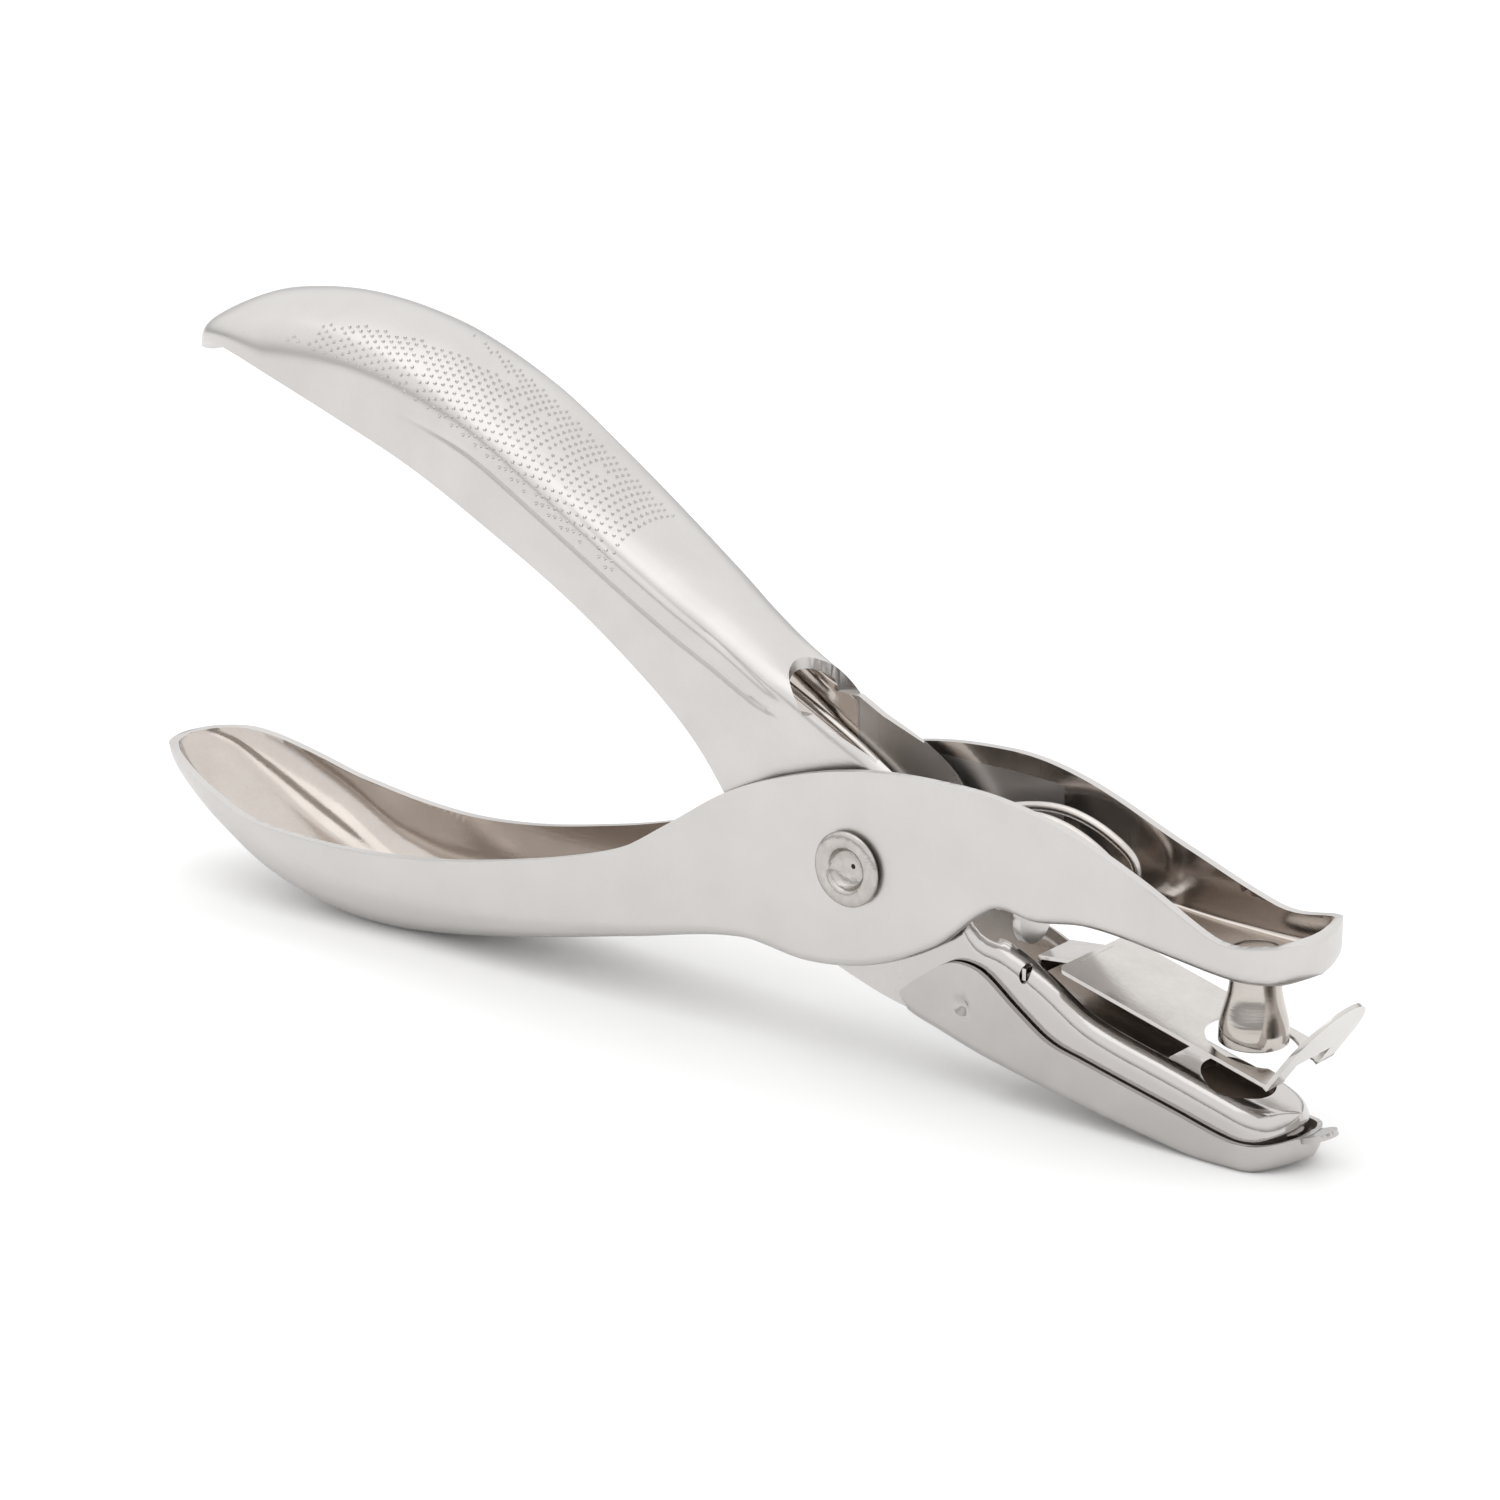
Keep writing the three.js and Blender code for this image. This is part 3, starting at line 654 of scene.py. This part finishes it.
makeRivet(rivet)
makeTube("pivot_sleeve_tube", "pivot_sleeve", 2.4, 2.75, -3.1, 3.1)
makeTube("pivot_washer_near_ring", "pivot_washer_near", 2.4, 4.5, 4.45, 4.95)
makeTube("pivot_washer_far_ring", "pivot_washer_far", 2.4, 4.5, -4.95, -4.45)

# punch pin
punchPin = {"x": 38.3}
pinOutline = [
    (0, -8.0), (1.6, -8.1), (2.3, -8.4), (2.6, -8.5), (2.88, -8.5), (3.0, -8.38), (3.0, -7.3), (2.97, -6.9),
    (2.88, -6.4), (2.74, -5.8), (2.58, -5.2), (2.42, -4.6), (2.3, -4.0), (2.23, -3.4), (2.2, -2.8), (2.2, -1.95),
    (2.15, -1.9), (1.6, -1.9), (1.6, -0.6), (2.2, -0.6), (2.3, -0.5), (2.25, -0.35), (1.95, -0.12), (1.3, -0.02), (0, 0),
]
bm = turned(pinOutline)
bmesh.ops.translate(bm, vec=(punchPin["x"], 0, 0), verts=bm.verts)
finishPiece(newObject("punch_pin_turned", bm, metals["turned"]), "punch_body", ["punch_pin"])

# stripper plate
stripper = {
    "sheet": 0.4, "half": 5.1, "hole": 4.2, "throat": 2.6, "rear": 21.7, "front": 43.2, "z": -8.55, "slope": -0.2535,
    "lip": 8.1, "lipLean": math.radians(35), "notch": 2.0, "x": 38.3, "ear": 17.5,
}


def makeStripper(spec):
    lean = math.atan(-spec["slope"])
    back, front = ((spec[end] - spec["x"]) / math.cos(lean) for end in ("rear", "front"))
    half, sheet = spec["half"], spec["sheet"]
    leaf = brick(back, front, -half, half, -sheet, -0.06)
    bmesh.ops.bevel(
        leaf, geom=[e for e in leaf.edges if abs(e.verts[0].co.z - e.verts[1].co.z) > 0.1 and e.verts[0].co.x < 0],
        offset=0.8, segments=6, profile=0.5, affect="EDGES", material=-1,
    )
    onJaw = Matrix.Translation((spec["x"], 0, spec["z"])) @ Matrix.Rotation(lean, 4, "Y")
    hole = drum(spec["hole"], 4, Matrix())
    gap = brick(0, front + 1, -spec["throat"], spec["throat"], -2, 2)
    for bm in (leaf, hole, gap):
        bmesh.ops.transform(bm, matrix=onJaw, verts=bm.verts)
    made = newObject("stripper_plate_sheet", leaf, metals["jaw"])
    trim(made, hole, gap)
    # the lip: a tongue with a half-round end, leaning forward from the leaf's front edge
    outline = [(half, -0.3), (half, spec["lip"] - half)]
    outline += [(half * math.cos(t), spec["lip"] - half + half * math.sin(t)) for t in
                [math.pi * step / 24 for step in range(1, 24)]]
    outline += [(-half, spec["lip"] - half), (-half, -0.3)]
    blade = slab(outline, 0, sheet)
    bmesh.ops.rotate(blade, matrix=Matrix.Rotation(math.radians(90), 3, "Z"), verts=blade.verts)
    notch = brick(-2, 2, -spec["throat"], spec["throat"], -1, spec["notch"])
    rise = spec["z"] + spec["slope"] * (spec["front"] - spec["x"])
    atFront = Matrix.Translation((spec["front"] - 0.1, 0, rise - 0.3)) @ Matrix.Rotation(spec["lipLean"], 4, "Y")
    for bm in (blade, notch):
        bmesh.ops.transform(bm, matrix=atFront, verts=bm.verts)
    lip = newObject("stripper_lip", blade)
    trim(lip, notch)
    combine(made, lip, "UNION")
    rear, ear = spec["rear"], spec["ear"]
    tailTop = spec["z"] + spec["slope"] * (rear - spec["x"])
    tail = [
        (rear + 0.5, tailTop - 0.15), (rear + 0.5, tailTop - 0.5), (ear + 0.6, -5.3), (ear + 0.2, -6.9),
        (ear - 0.2, -6.9), (ear + 0.3, -4.95),
    ]
    weld(made, slab(tail, -2.4, 2.4), brick(ear - 0.19, ear + 0.19, -4.1, 4.1, -6.88, -5.8))
    return finishPiece(made, "die_body", ["stripper_plate"], 0.08)


makeStripper(stripper)

# chip tray
chipTray = {
    "from": 4.8, "to": 44.6, "step": 0.7, "sheet": 0.5, "outer": 4.95, "floorFrom": 13.5,
    # the outer finish is painted shade, darker for a dark reflection; the inner finish is painted light, lighter so the
    # tray's inside reads as lit
    "finish": ("tray", "trayInsidePaintedLight"),
    "rim": [
        (4.8, -10.6), (6.2, -9.4), (8.9, -7.4), (10.3, -6.7), (12, -6.6), (13.7, -7.1), (17.1, -9.5), (20.5, -11.6),
        (24, -12.5), (33.7, -14.7), (38.6, -15.8), (41.5, -15.9), (44.6, -15.2),
    ],
    "web": [
        (4.8, -11.6), (5.4, -12.6), (8.6, -13.6), (13.8, -15), (24, -16.9), (33.8, -18.4), (36, -18.6), (37, -18.6),
        (40, -18.6), (41, -18.6), (44.6, -17.3),
    ],
    "half": [(4.8, 4.95), (38, 4.95), (40.4, 4.8), (42.4, 4), (43.8, 2.6), (44.4, 1.4), (44.6, 0.8)],
    "bend": [(4.8, 1.2), (44.6, 1.2)],
    "tips": [(44.6, 0.8, 2.6)],
}


def makeTray(spec):
    made = pressedTrough("chip_tray_sheet", spec)
    inside = spec["outer"] - spec["sheet"] + 0.02
    trim(made, brick(3, spec["floorFrom"], -inside, inside, -16, -5))
    x, z = drawn["trayHinge"]
    for side in (-1, 1):
        low, high = sorted((side * (spec["outer"] - 0.2), side * (inside - 1.1)))
        weld(made, across(0.8, low, high, x, z))
        # the dimple on the outside, from which the pip was pressed
        outsideFace, deep = side * (spec["outer"] + 0.02), side * (spec["outer"] - 0.42)
        low, high = sorted((outsideFace, deep))
        wide, narrow = (0.95, 0.35) if side < 0 else (0.35, 0.95)
        trim(made, across(wide, low, high, x, z, narrow))
    ear = upright(1.5, 0, 0.5, 1.4)
    earPlace = Matrix.Translation((44, 0, -16)) @ Matrix.Rotation(-0.35, 4, "Y")
    stem = brick(-0.3, 1.4, -1.48, 1.48, 0.01, 0.49)
    for bm in (ear, stem):
        bmesh.ops.transform(bm, matrix=earPlace, verts=bm.verts)
    weld(made, ear, stem)
    trim(made, tableCutter())
    return finishPiece(made, "tray_body", ["chip_tray"], 0.1)


makeTray(chipTray)

# return spring
returnSpring = {"wire": 0.45, "coil": 3.3, "turns": 2, "farY": 2.7, "pitch": 1.0}


def makeSpring(spec):
    half = [(x, z, spec["farY"]) for x, z in ((-15.2, 12.5), (-10, 10.1), (-4, 7))]
    start, end = math.radians(50), math.radians(100) - spec["turns"] * 2 * math.pi
    for step in range(33):
        turn = start + (end - start) * step / 32
        y = spec["farY"] - spec["turns"] * spec["pitch"] * step / 32
        half.append((spec["coil"] * math.cos(turn), spec["coil"] * math.sin(turn), y))
    half += [(6, 4.1, 1.0), (11.5, 6.2, 1.35), (16.5, 7.3, 1.45), (20.5, 6.7, 1.45), (24, 5, 1.45)]
    half += [(25.2, 3.7, 1.45), (25.3, 1.9, 1.3), (25.3, 0.7, 0.8)]
    route = [(x, -y, z) for x, z, y in half] + [(25.3, 0, 0.4)] + [(x, y, z) for x, z, y in reversed(half)]
    curve = bpy.data.curves.new("return_spring_line", "CURVE")
    curve.dimensions = "3D"
    curve.bevel_depth = spec["wire"]
    curve.bevel_resolution = 4
    curve.use_fill_caps = True
    line = curve.splines.new("NURBS")
    line.points.add(len(route) - 1)
    for point, place in zip(line.points, route):
        point.co = (*place, 1)
    line.use_endpoint_u = True
    line.order_u = 3
    line.resolution_u = 6
    drawnLine = bpy.data.objects.new("return_spring_line", curve)
    bpy.context.scene.collection.objects.link(drawnLine)
    bpy.context.view_layer.update()
    mesh = bpy.data.meshes.new_from_object(drawnLine.evaluated_get(bpy.context.evaluated_depsgraph_get()))
    bpy.data.objects.remove(drawnLine)
    bm = bmesh.new()
    bm.from_mesh(mesh)
    bmesh.ops.remove_doubles(bm, verts=bm.verts, dist=0.001)
    bmesh.ops.recalc_face_normals(bm, faces=bm.faces)
    made = newObject("return_spring_wire", bm, metals["spring"])
    return finishPiece(made, "punch_body", ["return_spring"])


makeSpring(returnSpring)

# floor, light and camera
studio = {
    "floorSize": 3.0, "floor": (0.96, 0.96, 0.96), "key": 1.1, "bright": 1.5,
    "sky": [(0.0, 0.22), (0.05, 0.24), (0.15, 0.56), (0.34, 0.80), (1.0, 0.84)],  # brightness by height
}


def makeFloor():
    bm = bmesh.new()
    bmesh.ops.create_grid(bm, x_segments=1, y_segments=1, size=studio["floorSize"])
    mesh = bpy.data.meshes.new("floor")
    bm.to_mesh(mesh)
    bm.free()
    floor = bpy.data.objects.new("floor", mesh)
    bpy.context.scene.collection.objects.link(floor)
    material = bpy.data.materials.new("floor_paper")
    material.use_nodes = True
    tree = material.node_tree
    shader = tree.nodes["Principled BSDF"]
    shader.inputs["Roughness"].default_value = 0.9
    shader.inputs["Specular IOR Level"].default_value = 0.1
    shader.inputs["Base Color"].default_value = (*studio["floor"], 1)
    mesh.materials.append(material)


def makeSky():
    world = bpy.data.worlds.new("studio")
    bpy.context.scene.world = world
    world.use_nodes = True
    tree = world.node_tree
    up = Signal(tree).node("ShaderNodeTexCoord")
    up = up.node("ShaderNodeSeparateXYZ", None, {"Vector": up}, out=2)
    bright = up.node("ShaderNodeValToRGB", {"stops": studio["sky"]}, {"Fac": up})
    tree.links.new(bright.socket, tree.nodes["Background"].inputs["Color"])
    tree.nodes["Background"].inputs["Strength"].default_value = studio["bright"]


def makeLamp(name, energy, size, place, target):
    light = bpy.data.lights.new(name, "AREA")
    light.energy = energy
    light.size = size
    lamp = bpy.data.objects.new(name, light)
    bpy.context.scene.collection.objects.link(lamp)
    lamp.location = place
    lamp.rotation_mode = "QUATERNION"
    lamp.rotation_quaternion = (Vector(target) - Vector(place)).to_track_quat("-Z", "Y")


def makeCamera():
    azimuth, elevation, away = math.radians(38.8), math.radians(18.15), 420.0
    back = Vector((math.sin(azimuth) * math.cos(elevation), -math.cos(azimuth) * math.cos(elevation),
                   math.sin(elevation)))
    right = Vector((math.cos(azimuth), math.sin(azimuth), 0))
    up = back.cross(right)
    turn = Matrix((right, up, back)).transposed().to_4x4()
    eye = back * away + right * -12.45 + up * 8.85
    lens = bpy.data.cameras.new("camera")
    lens.sensor_width = 36
    lens.lens = 4760 / 1500 * 36
    lens.clip_start, lens.clip_end = 0.01, 20
    camera = bpy.data.objects.new("camera", lens)
    bpy.context.scene.collection.objects.link(camera)
    camera.matrix_world = setDown @ Matrix.Translation(eye / 1000) @ turn
    bpy.context.scene.camera = camera


makeFloor()
makeSky()
makeLamp("overhead", studio["key"], 0.9, (-0.1, -0.1, 0.9), (0, 0, 0.02))
makeCamera()
bpy.context.scene.view_settings.view_transform = "Standard"
print("stage ready")
